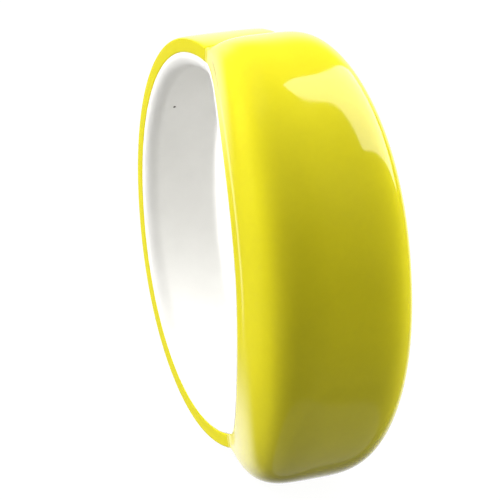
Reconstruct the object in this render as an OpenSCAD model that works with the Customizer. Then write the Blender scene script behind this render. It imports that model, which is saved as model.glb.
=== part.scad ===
// Rigid bangle watch: a wide crowned case with a hidden light-up display, hinged to a thin half band.
// Origin: centre of the wrist opening. X runs along the wrist, -Y is the front of the case, +Z is up.
// An angle t on the rim starts at the front of the case and turns over the top towards the rear.

/* [Wrist opening] */
// Height of the rim curve, where the liner meets the outer shell
rim_h = 63; // [62:0.2:64]
// Front-to-back depth of the rim curve
rim_d = 56.8; // [56:0.2:58]
// Squareness of the rim curve (2 is an ellipse)
rim_power = 2.08; // [2:0.01:2.15]
// Thickness of the liner that touches the wrist
liner_t = 2.6; // [2.5:0.05:2.7]
// Radius that eases the liner's inner edges
liner_edge_r = 2.3; // [1.8:0.1:2.4]

/* [Band] */
// Width of the rear band
band_w = 14; // [13.6:0.2:15]
// Height of the shell's straight side face above the rim curve
side_h = 2.15; // [2.1:0.05:2.3]
// Extra height of the rear band at the middle of its width
band_crown = 0.4; // [0.3:0.05:0.5]

/* [Case] */
// Width of the case at its front
case_w = 25.6; // [25:0.2:26]
// Height of the case's crown above the side face, at the front
crown_h = 13.2; // [12.9:0.1:13.4]
// How much of that height is lost towards the case's ends before it falls away
crown_fall = 1.55; // [1:0.05:1.6]
// Half the angle that the case's bulge spans
case_half_deg = 77.5; // [77:0.1:78]
// Wall of the case shell
wall = 1.8; // [1.7:0.05:1.8]

/* [Button] */
// Radius of the button's cap
button_r = 1.93; // [1.8:0.01:1.96]
// How far the button stands out of the side wall
button_proud = 0.8; // [0.5:0.1:1]

/* [Battery] */
// Radius of the coin cell
cell_r = 8; // [8:0.1:8]
// Thickness of the coin cell
cell_t = 3.2; // [3.2:0.1:3.2]

/* [Hidden] */
$fn = 64;

YELLOW = "#f4ea1e";
WHITE = "#f3f2ee";
STEEL = "#b9bcc0";
BLACK = "#1d1d20";
RED = "#c81e1e";
BRASS = "#c9a64a";

// Powers and roots of the two bulges and of the cross-section
width_power = 2.37;
width_root = 0.79;
height_power = 3.62;
section_p = 3.94;
section_q = 3.32;

split_deg = 79.2;       // angle of the joint between case and band, above and below
split_gap = 0.12;       // gap between the end faces
glue_gap = 0.03;        // bond line between a liner and its shell
cavity_deg = 68;        // half the angle of the hollow in the case shell
cavity_end_deg = 0.4;   // run-out of the hollow's end wall
slide = 0.05;           // radial clearance of parts that slide or turn
insert = 0.03;          // clearance round an inserted piece
band_top = side_h + band_crown;

// Rim curve, its outward normal, and a point r outside it
function spow(v, e) = sign(v) * pow(abs(v), e);
function rim(t) = [-rim_d / 2 * spow(cos(t), 2 / rim_power), rim_h / 2 * spow(sin(t), 2 / rim_power)];
function rim_slope(t) = let (p = rim(t))
    [spow(2 * p[0] / rim_d, rim_power - 1) / rim_d, spow(2 * p[1] / rim_h, rim_power - 1) / rim_h];
function rim_normal(t) = rim_slope(t) / norm(rim_slope(t));
function place(t, q) = let (p = rim(t) + q[1] * rim_normal(t)) [q[0], p[0], p[1]];
function mm_deg(t, mm) = mm / norm(rim(t + 0.5) - rim(t - 0.5));

// Bulges of the case: 1 at the front, 0 at the case's ends
function off_front(t) = min(abs(t > 180 ? 360 - t : t) / case_half_deg, 1);
function width_at(t) = band_w + (case_w - band_w) * pow(1 - pow(off_front(t), width_power), 1 / width_root);
function crown_at(t) = band_crown
    + (crown_h - band_crown - crown_fall * (1 - cos(t))) * (1 - pow(off_front(t), height_power));

// Cross-sections, as [x, height above the rim curve]
section_steps = 20;
function arch_x(u, half) = half * spow(cos(u), 2 / section_p);
function arch_r(u, high) = high * pow(abs(sin(u)), 2 / section_q);
function outer_arch(t) = let (half = width_at(t) / 2) concat([[half, 0]],
    [for (i = [0:section_steps]) let (u = 180 * i / section_steps)
        [arch_x(u, half), side_h + arch_r(u, crown_at(t))]], [[-half, 0]]);
function inner_arch(t, high) = let (half = width_at(t) / 2 - wall)
    [for (i = [section_steps:-1:0]) let (u = 180 * i / section_steps) [arch_x(u, half), arch_r(u, high)]];
function hollow_ring(t) = concat(outer_arch(t),
    inner_arch(t, abs(t) < cavity_deg ? side_h + crown_at(t) - wall : 0));
edge_steps = 7;
function edge_arc(side, half) = [for (i = [0:edge_steps]) let (a = 90 * (side > 0 ? i : edge_steps - i) / edge_steps)
    [side * (half - liner_edge_r + liner_edge_r * cos(a)), -liner_t + liner_edge_r * (1 - sin(a))]];
function liner_ring(t) = let (half = width_at(t) / 2)
    concat([[half, -glue_gap], [-half, -glue_gap]], reverse_list(edge_arc(-1, half)),
        reverse_list(edge_arc(1, half)));
function reverse_list(v) = [for (i = [len(v) - 1:-1:0]) v[i]];

// Angles of the sections along the case and along the band, closer together where the case falls away
case_steps = 46;
case_edge = split_deg - mm_deg(split_deg, split_gap / 2);
band_edge = split_deg + mm_deg(split_deg, split_gap / 2);
function eased(v) = (3 * v - v * v * v) / 2;
case_angles = concat([-case_edge],
    [for (i = [0:case_steps]) case_half_deg * eased(2 * i / case_steps - 1)], [case_edge]);
function clear_of_wall(t) = abs(abs(t) - cavity_deg) > 1.2;
cavity_walls = [-cavity_deg, -cavity_deg + cavity_end_deg, cavity_deg - cavity_end_deg, cavity_deg];
shell_angles = concat([for (t = case_angles) if (t < -cavity_deg && clear_of_wall(t)) t],
    [cavity_walls[0], cavity_walls[1]], [for (t = case_angles) if (abs(t) < cavity_deg && clear_of_wall(t)) t],
    [cavity_walls[2], cavity_walls[3]], [for (t = case_angles) if (t > cavity_deg && clear_of_wall(t)) t]);
band_steps = 48;
band_angles = [for (i = [0:band_steps]) band_edge + (360 - 2 * band_edge) * i / band_steps];

// One closed skin through rings of equal length, with a fan over each end
module sweep(rings, apex) {
    n = len(rings[0]);
    last = len(rings) - 1;
    points = [for (ring = rings) each ring];
    walls = [for (i = [0:last - 1], j = [0:n - 1]) let (a = i * n + j, b = i * n + (j + 1) % n)
        each [[a, b, b + n], [a, b + n, a + n]]];
    ends = [for (j = [1:n - 2]) let (a = (apex + j) % n, b = (apex + j + 1) % n)
        each [[apex, b, a], [last * n + apex, last * n + a, last * n + b]]];
    polyhedron(points, concat(walls, ends), convexity = 6);
}
module shell_sweep(angles) {
    sweep([for (t = angles) [for (q = hollow_ring(t)) place(t, q)]], section_steps / 2 + 1);
}
module liner_sweep(angles) {
    sweep([for (t = angles) [for (q = liner_ring(t)) place(t, q)]], edge_steps / 2 + 2.5);
}
module band_sweep(angles) {
    sweep([for (t = angles) [for (q = outer_arch(t)) place(t, q)]], section_steps / 2 + 1);
}

// Local frame on the rim: +Z points outwards, +Y along the rim towards larger angles
module at_rim(t) {
    n = rim_normal(t);
    translate(place(t, [0, 0])) rotate([atan2(-n[0], n[1]), 0, 0]) children();
}
module along_x(r, from, to) {
    translate([from, 0, 0]) rotate([0, 90, 0]) cylinder(r = r, h = to - from);
}
module towards_front(r, from, to) {
    translate([0, -from, 0]) rotate([90, 0, 0]) cylinder(r = r, h = to - from);
}
module box(low, high) {
    translate(low) cube(high - low);
}

// Hinge at the bottom joint: the axis lies on the outer surface, so the end faces part like a book
knuckle_r = 1.1;
pin_r = 0.5;
leaf_half = 5.1;
knuckle_half = 2.45;
leaf_reach = 3.4;
leaf_low = -1.25;
leaf_high = -0.6;
barrel_room = 1.25;
hinge_pin_half = 5;
module at_hinge() {
    at_rim(-split_deg) translate([0, 0, band_top]) children();
}
module leaf_plate(way, grow) {
    low = [-leaf_half - grow, barrel_room - grow, leaf_low - grow];
    high = [leaf_half + grow, leaf_reach + grow, leaf_high + grow];
    scale([1, way, 1]) box(low, high);
}
module barrel_groove() {
    at_hinge() along_x(barrel_room, -leaf_half - 0.2, leaf_half + 0.2);
}

// Clasp at the top joint: a tongue that follows a circle round the hinge axis
tongue_half = 2.8;
tongue_t = 1.2;
tongue_mid = 1.25;
tongue_out = 3.2;
tongue_in = 3.4;
magnet_r = 0.9;
magnet_len = 3;
magnet_x = 4.8;
magnet_gap = 0.1;
hinge_at = place(-split_deg, [0, band_top]);
clasp_at = place(split_deg, [0, tongue_mid]);
clasp_arm = norm(clasp_at - hinge_at);
clasp_deg = atan2(clasp_at[2] - hinge_at[2], clasp_at[1] - hinge_at[1]);
function arm_deg(mm) = mm / clasp_arm * 180 / PI;
module hinge_arc(half, thick, front_mm, rear_mm) {
    from = clasp_deg - arm_deg(rear_mm);
    span = arm_deg(front_mm + rear_mm);
    translate(hinge_at) rotate([90, 0, 90]) rotate([0, 0, from]) rotate_extrude(angle = span)
        translate([clasp_arm - thick / 2, -half]) square([thick, 2 * half]);
}
module magnet_pair(way, grow, from) {
    for (x = [-magnet_x, magnet_x])
        at_rim(split_deg) translate([x, way * from, tongue_mid]) rotate([-90 * way, 0, 0])
            cylinder(r = magnet_r + grow, h = magnet_len + split_gap - from + grow);
}

// Screws that hold the case's liner to bosses in its shell
liner_screw_deg = 50;
liner_screw_x = 5.6;
boss_r = 2;
screw_r = 0.75;
screw_head_r = 1.4;
screw_head_h = 0.9;
screw_reach = 5;
module at_liner_screws() {
    for (t = [-liner_screw_deg, liner_screw_deg], x = [-liner_screw_x, liner_screw_x])
        at_rim(t) translate([x, 0, 0]) children();
}
boss_top = side_h + crown_at(liner_screw_deg) - wall / 2 - 0.35;

// Battery bay, along the middle of the case; depths are measured from the origin towards the front
face_depth = rim_d / 2 - liner_t;
door_face = face_depth + 0.2;
door_r = 9.5;
door_flange_t = 1.2;
ledge_depth = door_face + door_flange_t + glue_gap;
bay_r = cell_r + 0.3;
bay_wall_r = 10.4;
seal_r = 8.9;
seal_wire_r = 0.32;
seal_groove = 0.7;
plug_t = 1.2;
cell_from = ledge_depth + plug_t + 0.05;
cell_to = cell_from + cell_t;
bay_to = cell_to - 0.3;
board_from = cell_to + 0.85;
board_t = 1;
board_to = board_from + board_t;
board_half_w = 7.8;
board_half_h = 20;
post_z = 17.5;
post_r = 1.8;
board_screw_r = 0.5;
board_screw_head_r = 1.3;

// Button on the right side wall, with the switch that it presses
button_at = 13.2;
button_depth = board_from - 0.85;
button_deg = 21;
button_wall_x = width_at(button_deg) / 2;
button_face = button_wall_x + button_proud;
button_flange_r = 2.5;
button_flange = [9.4, 9.9];
button_groove = [11.2, 11.8];
button_groove_r = 1.5;
switch_x = [4.8, 7.8];
plunger_tip = 9.1;
module at_button() {
    translate([0, -button_depth, button_at]) children();
}

// Display: four figures of seven bars and two dots, read along the rim
display_half_w = 5.6;
display_half_h = 15;
display_to = board_to + 4.4;
bar_depth = 0.8;
figure_w = 3.7;
figure_h = 6.6;
bar_t = 0.8;
bar_parting = 0.16;
figure_places = [-11.4, -4.6, 4.6, 11.4];
module bar(length, grow) {
    h = bar_t / 2 + grow;
    e = length / 2 - bar_parting + sqrt(2) * grow;
    polygon([[-e, 0], [-e + h, h], [e - h, h], [e, 0], [e - h, -h], [-e + h, -h]]);
}
module figure_bars(grow) {
    for (y = [-1, 0, 1]) translate([0, y * figure_h / 2]) bar(figure_w, grow);
    for (x = [-1, 1], y = [-1, 1])
        translate([x * figure_w / 2, y * figure_h / 4]) rotate([0, 0, 90]) bar(figure_h / 2, grow);
}
module display_bars(from, to, grow) {
    for (z = figure_places) translate([0, -from, z]) rotate([90, 90, 0]) linear_extrude(to - from)
        figure_bars(grow);
    for (x = [-1.5, 1.5]) translate([x, 0, 0]) towards_front(0.5 + grow, from, to);
}

module case_shell() {
    color(YELLOW) difference() {
        union() {
            shell_sweep(shell_angles);
            at_liner_screws() cylinder(r = boss_r, h = boss_top);
        }
        at_liner_screws() translate([0, 0, -1]) cylinder(r = screw_r + insert, h = screw_reach + 1.6);
        barrel_groove();
        at_hinge() leaf_plate(1, insert);
        at_hinge() box([-leaf_half - insert, -0.5, leaf_low - insert],
            [leaf_half + insert, barrel_room + 0.1, 0]);
        hinge_arc(tongue_half + 0.15, tongue_t + 0.3, tongue_out + 0.3, 2);
        magnet_pair(-1, insert, -0.5);
        at_button() along_x(button_r + slide + 0.02, 8, 15);
    }
}

module case_liner() {
    color(WHITE) difference() {
        union() {
            liner_sweep(case_angles);
            towards_front(bay_wall_r, face_depth + 0.4, bay_to);
            for (z = [-post_z, post_z]) translate([0, 0, z]) towards_front(post_r, 23.2, board_from - 0.02);
        }
        towards_front(door_r + 0.1, 15, ledge_depth);
        towards_front(bay_r, 15, bay_to + 1);
        rotate([90, 0, 0]) translate([0, 0, ledge_depth - 0.2]) difference() {
            cylinder(r = seal_r + 0.4, h = seal_groove + 0.2);
            translate([0, 0, -1]) cylinder(r = seal_r - 0.4, h = seal_groove + 2);
        }
        for (z = [-post_z, post_z])
            translate([0, 0, z]) towards_front(board_screw_r + insert, board_from - 5, board_from + 1);
        at_liner_screws() translate([0, 0, -liner_t - 2]) cylinder(r = screw_r + 0.1, h = liner_t + 3);
        at_liner_screws() translate([0, 0, -liner_t - 2])
            cylinder(r = screw_head_r + 0.1, h = 2.15 + screw_head_h + 0.05);
    }
}

module liner_screws() {
    color(STEEL) at_liner_screws() translate([0, 0, -liner_t + 0.15]) difference() {
        union() {
            cylinder(r = screw_head_r, h = screw_head_h);
            cylinder(r = screw_r, h = liner_t + screw_reach);
        }
        for (a = [0, 90]) rotate([0, 0, a]) box([-1, -0.15, -0.1], [1, 0.15, 0.4]);
    }
}

module circuit_board() {
    color("#1f6b3a") difference() {
        box([-board_half_w, -board_to, -board_half_h], [board_half_w, -board_from, board_half_h]);
        for (z = [-post_z, post_z]) translate([0, 0, z]) towards_front(0.8, board_from - 1, board_to + 1);
    }
}

module board_screws() {
    color(STEEL) for (z = [-post_z, post_z]) translate([0, 0, z]) difference() {
        union() {
            towards_front(board_screw_head_r, board_to + 0.02, board_to + 0.82);
            towards_front(board_screw_r, board_from - 4, board_to + 0.5);
        }
        for (a = [0, 90]) rotate([0, a, 0]) box([-0.9, -board_to - 1, -0.13], [0.9, -board_to - 0.5, 0.13]);
    }
}

module display_housing() {
    color(BLACK) difference() {
        box([-display_half_w, -display_to, -display_half_h],
            [display_half_w, -board_to - 0.02, display_half_h]);
        display_bars(display_to - bar_depth, display_to + 1, insert);
    }
}

module display_segments() {
    color(RED) display_bars(display_to - bar_depth + 0.02, display_to - 0.02, 0);
}

module controller_chip() {
    color(BLACK) box([-7.2, -board_from + 0.02, 10.8], [-2.2, -board_from + 0.92, 15.8]);
}

module quartz_crystal() {
    color(STEEL) translate([0, -board_from + 1.05, -12.6]) along_x(1, -3, 3);
}

module chip_components() {
    color(BRASS) for (x = [-6.2, 6.2], z = [-17:2.6:-11.8])
        translate([x, -board_from + 0.02, z]) box([-0.8, 0, -0.45], [0.8, 0.6, 0.45]);
}

module side_switch() {
    color(BLACK) difference() {
        at_button() box([switch_x[0], -0.83, -2.3], [switch_x[1], 0.75, 2.3]);
        at_button() box([switch_x[0] + 0.8, -0.5, -1.05], [switch_x[1] + 1, 0.5, 1.05]);
    }
}

module switch_plunger() {
    color(WHITE) at_button() box([switch_x[0] + 1.4, -0.45, -1], [plunger_tip, 0.45, 1]);
}

module negative_contact() {
    color(BRASS) union() {
        towards_front(1.5, cell_to + 0.03, cell_to + 0.7);
        box([-3, -board_from + 0.02, -2], [3, -board_from + 0.22, 2]);
    }
}

module positive_contact() {
    color(BRASS) box([-1.1, -board_from + 0.02, cell_r + 0.04], [1.1, -cell_from - 0.6, cell_r + 0.18]);
}

module coin_cell() {
    color(STEEL) union() {
        towards_front(cell_r, cell_from, cell_to - 0.5);
        towards_front(cell_r - 1.2, cell_from, cell_to);
    }
}

module battery_door() {
    color(WHITE) difference() {
        union() {
            towards_front(door_r, door_face, door_face + door_flange_t);
            towards_front(bay_r - slide, door_face, ledge_depth + plug_t);
        }
        box([-5.5, -door_face - 0.8, -0.8], [5.5, -door_face + 1, 0.8]);
    }
}

module door_seal() {
    color(BLACK) rotate([90, 0, 0]) translate([0, 0, ledge_depth + seal_wire_r + 0.02])
        rotate_extrude() translate([seal_r, 0]) circle(r = seal_wire_r);
}

module case_magnets() {
    color(STEEL) magnet_pair(-1, 0, magnet_gap);
}

module hinge_case_leaf() {
    color(STEEL) at_hinge() difference() {
        union() {
            leaf_plate(1, 0);
            for (way = [-1, 1]) scale([way, 1, 1]) {
                along_x(knuckle_r, knuckle_half + 0.1, leaf_half);
                box([knuckle_half + 0.1, 0, leaf_low], [leaf_half, barrel_room + 0.2, leaf_high]);
            }
        }
        along_x(pin_r + 0.01, -9, 9);
    }
}

module hinge_pin() {
    color(STEEL) at_hinge() along_x(pin_r, -hinge_pin_half, hinge_pin_half);
}

module hinge_band_leaf() {
    color(STEEL) at_hinge() difference() {
        union() {
            leaf_plate(-1, 0);
            along_x(knuckle_r, -knuckle_half, knuckle_half);
            box([-knuckle_half, -barrel_room - 0.2, leaf_low], [knuckle_half, 0, leaf_high]);
        }
        along_x(pin_r + slide, -9, 9);
    }
}

module button_cap() {
    color(YELLOW) at_button() difference() {
        union() {
            along_x(button_r, button_flange[0], button_face);
            along_x(button_flange_r, button_flange[0], button_flange[1]);
            along_x(0.8, plunger_tip + 0.02, button_flange[0] + 0.1);
        }
        difference() {
            along_x(button_r + 1, button_groove[0], button_groove[1]);
            along_x(button_groove_r, button_groove[0] - 1, button_groove[1] + 1);
        }
    }
}

module button_seal() {
    color(BLACK) at_button() translate([(button_groove[0] + button_groove[1]) / 2, 0, 0]) rotate([0, 90, 0])
        rotate_extrude() translate([1.74, 0]) circle(r = 0.2);
}

module band_shell() {
    color(YELLOW) difference() {
        band_sweep(band_angles);
        barrel_groove();
        at_hinge() leaf_plate(-1, insert);
        at_hinge() box([-leaf_half - insert, -barrel_room - 0.1, leaf_low - insert],
            [leaf_half + insert, 0.5, 0]);
        hinge_arc(tongue_half + insert, tongue_t + 2 * insert, 2, tongue_in + insert);
        magnet_pair(1, insert, -0.5);
    }
}

module band_liner() {
    color(WHITE) liner_sweep(band_angles);
}

module band_magnets() {
    color(STEEL) magnet_pair(1, 0, magnet_gap);
}

module clasp_tongue() {
    color(STEEL) hinge_arc(tongue_half, tongue_t, tongue_out, tongue_in);
}

case_shell();
case_liner();
liner_screws();
circuit_board();
board_screws();
display_housing();
display_segments();
controller_chip();
quartz_crystal();
chip_components();
side_switch();
negative_contact();
positive_contact();
coin_cell();
battery_door();
door_seal();
case_magnets();
hinge_case_leaf();
hinge_pin();
button_cap();
button_seal();
switch_plunger();
band_shell();
band_liner();
band_magnets();
clasp_tongue();
hinge_band_leaf();
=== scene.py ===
"""Rigid bangle watch: a gloss yellow case and band with a satin white liner, hinged below.

X runs along the wrist, -Y is the front of the case and +Z is up. An angle t on the rim curve starts
at the front of the case and turns over the top towards the rear. Shapes are worked out in
millimetres and put into the meshes in metres.
"""

import bpy
import numpy as np
from mathutils import Matrix, Vector


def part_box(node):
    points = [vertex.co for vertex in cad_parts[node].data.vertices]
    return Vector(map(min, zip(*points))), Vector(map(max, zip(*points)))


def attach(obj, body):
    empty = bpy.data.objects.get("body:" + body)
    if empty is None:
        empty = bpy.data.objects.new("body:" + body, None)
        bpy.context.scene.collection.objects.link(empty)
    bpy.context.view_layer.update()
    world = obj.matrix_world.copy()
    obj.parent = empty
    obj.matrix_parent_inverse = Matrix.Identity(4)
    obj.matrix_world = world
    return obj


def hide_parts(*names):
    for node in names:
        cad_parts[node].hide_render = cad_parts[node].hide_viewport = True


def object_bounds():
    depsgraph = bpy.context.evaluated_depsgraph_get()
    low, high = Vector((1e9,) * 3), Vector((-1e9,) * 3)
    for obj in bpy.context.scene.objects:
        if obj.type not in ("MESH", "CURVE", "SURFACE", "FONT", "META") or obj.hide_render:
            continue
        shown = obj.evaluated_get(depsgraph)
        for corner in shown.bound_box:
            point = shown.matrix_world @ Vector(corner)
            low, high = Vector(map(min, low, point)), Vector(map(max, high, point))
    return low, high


bl_info = {
    "name": "Bangle Watch",
    "version": (1, 0, 0),
    "blender": (4, 5, 0),
    "location": "3D View > Sidebar > Bangle",
    "description": "Builds the shells, liners, fittings and finishes of a rigid bangle watch",
    "category": "Add Mesh",
}

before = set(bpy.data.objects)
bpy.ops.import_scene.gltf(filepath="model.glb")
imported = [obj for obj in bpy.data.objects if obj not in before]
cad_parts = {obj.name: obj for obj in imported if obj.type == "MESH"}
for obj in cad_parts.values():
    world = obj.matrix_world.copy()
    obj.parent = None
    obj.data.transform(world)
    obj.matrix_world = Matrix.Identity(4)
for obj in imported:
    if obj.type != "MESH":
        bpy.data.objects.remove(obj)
cad_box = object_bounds()
MM = 0.001
TURN = 2 * np.pi


def span(node, axis):
    """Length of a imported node's box along one axis, in metres."""
    low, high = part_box(node)
    return high[axis] - low[axis]


def linear(hex_colour):
    """Turns an sRGB hex value into linear red, green and blue."""
    srgb = np.array([int(hex_colour[i:i + 2], 16) / 255 for i in (1, 3, 5)])
    return tuple(np.where(srgb <= 0.04045, srgb / 12.92, ((srgb + 0.055) / 1.055) ** 2.4))


def length(name, description, default):
    """A size in metres for the panel."""
    return bpy.props.FloatProperty(name=name, description=description, default=default, precision=5,
                                   unit="LENGTH", subtype="DISTANCE")


def colour(name, description, default):
    """A colour for the panel, from a hex value."""
    return bpy.props.FloatVectorProperty(name=name, description=description, default=linear(default),
                                         subtype="COLOR", min=0, max=1)


class BangleSizes(bpy.types.PropertyGroup):
    """Sizes that shape the shells and liners."""
    rim_height: length("Rim height", "Height of the curve where liner and shell meet", 0.063)
    rim_depth: length("Rim depth", "Front-to-back depth of that curve", 0.0568)
    rim_power: bpy.props.FloatProperty(name="Rim power", description="2 is an ellipse", default=2.08)
    case_width: length("Case width", "Width of the case at its front", span("case_shell", 0))
    band_width: length("Band width", "Width of the rear band", span("band_liner", 0))
    side_height: length("Side height", "Height of the straight side face", 0.00215)
    band_crown: length("Band crown", "Rise of the band at its middle", 0.0004)
    crown_height: length("Crown height", "Rise of the case at its front", 0.0132)
    crown_fall: length("Crown fall", "Crown lost towards the case's ends", 0.00155)
    wall: length("Wall", "Wall of the case shell", 0.0018)
    liner: length("Liner", "Thickness of the white liner", 0.0026)
    liner_edge: length("Liner edge", "Radius of the liner's inner edges", 0.0023)
    edge: length("Edge break", "Radius of moulded outer edges", 0.00014)
    bead: length("Shadow step", "How far the side face is set in below the crown", 0.0001)


class BangleFinish(bpy.types.PropertyGroup):
    """Colours of the finishes."""
    yellow: colour("Shell yellow", "Moulded-in colour of the shells", "#e3d81f")
    white: colour("Liner white", "Moulded-in colour of the liners and the battery door", "#f6f5f0")
    steel: colour("Steel", "Hinge, screws and clasp", "#b9bcc0")
    nickel: colour("Nickel", "Plating of the magnets and the coin cell", "#c9c7c0")
    brass: colour("Gold plate", "Contacts and component ends", "#c9a64a")
    laminate: colour("Solder mask", "Circuit board", "#1f6b3a")
    black: colour("Black plastic", "Display housing, chip and switch", "#1d1d20")
    red: colour("Red plastic", "Display bars", "#a81414")
    rubber: colour("Rubber", "Seals", "#161616")


class BangleStage(bpy.types.PropertyGroup):
    """View and light of the studio."""
    azimuth: bpy.props.FloatProperty(name="Azimuth", description="Turn of the view from the front",
                                     default=np.radians(-21.56), subtype="ANGLE")
    elevation: bpy.props.FloatProperty(name="Elevation", description="Height of the view",
                                       default=np.radians(13.63), subtype="ANGLE")
    roll: bpy.props.FloatProperty(name="Roll", description="Roll of the camera",
                                  default=np.radians(-3.19), subtype="ANGLE")
    distance: length("Distance", "From the camera to the object's origin", 0.4241)
    lens: bpy.props.FloatProperty(name="Lens", description="Focal length on a 36 mm sensor", default=185.7,
                                  subtype="DISTANCE_CAMERA")


# ---- form -----------------------------------------------------------------------------------------

def signed_power(value, power):
    return np.sign(value) * np.abs(value) ** power


def smooth(value):
    """0 below 0, 1 above 1, and an even S between."""
    v = np.clip(value, 0, 1)
    return v * v * (3 - 2 * v)


class Form:
    """The bangle's form in millimetres. Angles are in degrees; t may be any array."""

    case_half = 77.5      # half the angle that the case's bulge spans
    split = 79.2          # angle of the joint between case and band, above and below
    split_gap = 0.12
    end_edge = 0.06       # edge radius of the shells' end faces
    glue_gap = 0.03
    cavity = 68.0         # half the angle of the hollow in the case shell
    cavity_end = 0.4      # run-out of the hollow's end walls
    width_power, width_root = 2.37, 0.79
    height_power = 3.62
    section_p, section_q = 3.94, 3.32

    def __init__(self, sizes):
        self.rim_h = sizes.rim_height / MM
        self.rim_d = sizes.rim_depth / MM
        self.power = sizes.rim_power
        self.case_w = sizes.case_width / MM
        self.band_w = sizes.band_width / MM
        self.side_h = sizes.side_height / MM
        self.band_crown = sizes.band_crown / MM
        self.crown_h = sizes.crown_height / MM
        self.crown_fall = sizes.crown_fall / MM
        self.wall = sizes.wall / MM
        self.liner_t = sizes.liner / MM
        self.liner_edge = sizes.liner_edge / MM
        self.edge = sizes.edge / MM
        self.bead = sizes.bead / MM
        self.band_top = self.side_h + self.band_crown

    def rim(self, t):
        """Superellipse in the YZ plane: |2y/depth|^p + |2z/height|^p = 1, at angle t."""
        a = np.radians(t)
        y = -self.rim_d / 2 * signed_power(np.cos(a), 2 / self.power)
        z = self.rim_h / 2 * signed_power(np.sin(a), 2 / self.power)
        return y, z

    def normal(self, t):
        """Outward normal of the rim curve: the gradient of its equation, made a unit."""
        y, z = self.rim(t)
        gy = signed_power(2 * y / self.rim_d, self.power - 1) / self.rim_d
        gz = signed_power(2 * z / self.rim_h, self.power - 1) / self.rim_h
        size = np.hypot(gy, gz)
        return gy / size, gz / size

    def place(self, t, x, h):
        """Point at x along the wrist and h outside the rim curve: rim(t) + h * normal(t)."""
        y, z = self.rim(t)
        ny, nz = self.normal(t)
        t, x, y, z = np.broadcast_arrays(t, x, y + h * ny, z + h * nz)
        return np.stack([x, y, z], -1)

    def degrees_of(self, t, mm):
        """Angle that covers mm along the rim curve at t."""
        y0, z0 = self.rim(t - 0.5)
        y1, z1 = self.rim(t + 0.5)
        return mm / np.hypot(y1 - y0, z1 - z0)

    def off_front(self, t):
        t = np.abs(np.where(t > 180, 360 - t, t))
        return np.minimum(t / self.case_half, 1)

    def half_width(self, t):
        """Half the width: band + (case - band) * (1 - off^a)^(1/b)."""
        bulge = (1 - self.off_front(t) ** self.width_power) ** (1 / self.width_root)
        return (self.band_w + (self.case_w - self.band_w) * bulge) / 2

    def crown(self, t):
        """Crown height: band + (case - band - fall * (1 - cos t)) * (1 - off^c)."""
        rise = self.crown_h - self.band_crown - self.crown_fall * (1 - np.cos(np.radians(t)))
        return self.band_crown + rise * (1 - self.off_front(t) ** self.height_power)

    def set_in(self, t, h):
        """How far the side face lies inside the crown's edge: an S-curve across a shadow step."""
        along = smooth((t + 20) / 25) * smooth((self.case_half - np.abs(t)) / 14)
        return self.bead * along * smooth((3.15 - h) / 0.9)


def arc_samples(form, steps, half, crown):
    """Section angles u from 0 to 180 degrees, spread evenly along a typical section's length."""
    u = np.linspace(0, np.pi, 6001)
    x = half * signed_power(np.cos(u), 2 / form.section_p)
    h = crown * np.abs(np.sin(u)) ** (2 / form.section_q)
    run = np.append(0, np.cumsum(np.hypot(np.diff(x), np.diff(h))))
    even = np.interp(np.linspace(0, run[-1], steps + 1), run, u)
    even[steps // 2] = np.pi / 2
    return even


def outer_section(form, t, u):
    """Section of a shell at each t, as (x, h): x = half * cos(u)^(2/p) and
    h = side + crown * sin(u)^(2/q), over straight side faces with rounded feet."""
    t = t[:, None]
    half, crown = form.half_width(t), form.crown(t)
    x = half * signed_power(np.cos(u), 2 / form.section_p)
    h = form.side_h + crown * np.abs(np.sin(u)) ** (2 / form.section_q)
    foot = np.radians(np.linspace(90, 0, 5))
    rise = np.linspace(0, 1, 7)[1:-1]
    foot_x = form.edge * (np.cos(foot) - 1)
    foot_h = form.edge * (1 - np.sin(foot))
    side_x = np.append(foot_x, 0 * rise)
    side_h = np.append(foot_h, form.edge + (form.side_h - form.edge) * rise)
    side_h = np.broadcast_to(side_h, (len(t), len(side_h)))
    right = half + side_x
    xs = np.concatenate([right, x, -right[:, ::-1]], 1)
    hs = np.concatenate([side_h, h, side_h[:, ::-1]], 1)
    return xs - np.sign(xs) * form.set_in(t, hs), hs


def inner_section(form, t, u):
    """Hollow's section, right to left reversed: the outer one less the wall, flat beyond the cavity."""
    t = t[:, None]
    half = form.half_width(t) - form.wall
    high = np.where(np.abs(t) < form.cavity - 0.01, form.side_h + form.crown(t) - form.wall, 0)
    x = half * signed_power(np.cos(u), 2 / form.section_p)
    return x[:, ::-1], (high * np.abs(np.sin(u)) ** (2 / form.section_q))[:, ::-1]


def liner_section(form, t, top):
    """Liner's section: flat top, small upper edges, straight sides, and wide quarter arcs inside."""
    t = t[:, None]
    half = form.half_width(t) - form.set_in(t, np.zeros_like(t)) - 0.02
    big, small = form.liner_edge, 0.12
    a = np.radians(np.linspace(0, 90, 15))
    b = np.radians(np.linspace(90, 0, 4))
    x = np.concatenate([small * (np.cos(b) - 1), big * (np.cos(a) - 1)])
    h = np.concatenate([top - small * (1 - np.sin(b)), -form.liner_t + big * (1 - np.sin(a))])
    flat = np.linspace(1, -1, 25)[1:-1] * (half - big)
    right = half + x
    xs = np.concatenate([right, flat, -right[:, ::-1]], 1)
    hs = np.concatenate([h, np.full(flat.shape[1], -form.liner_t), h[::-1]])
    lid = np.linspace(-1, 1, 13)[1:-1] * (half - small)
    xs = np.concatenate([xs, lid], 1)
    hs = np.append(hs, np.full(lid.shape[1], top))
    return xs, np.broadcast_to(hs, xs.shape)


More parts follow.
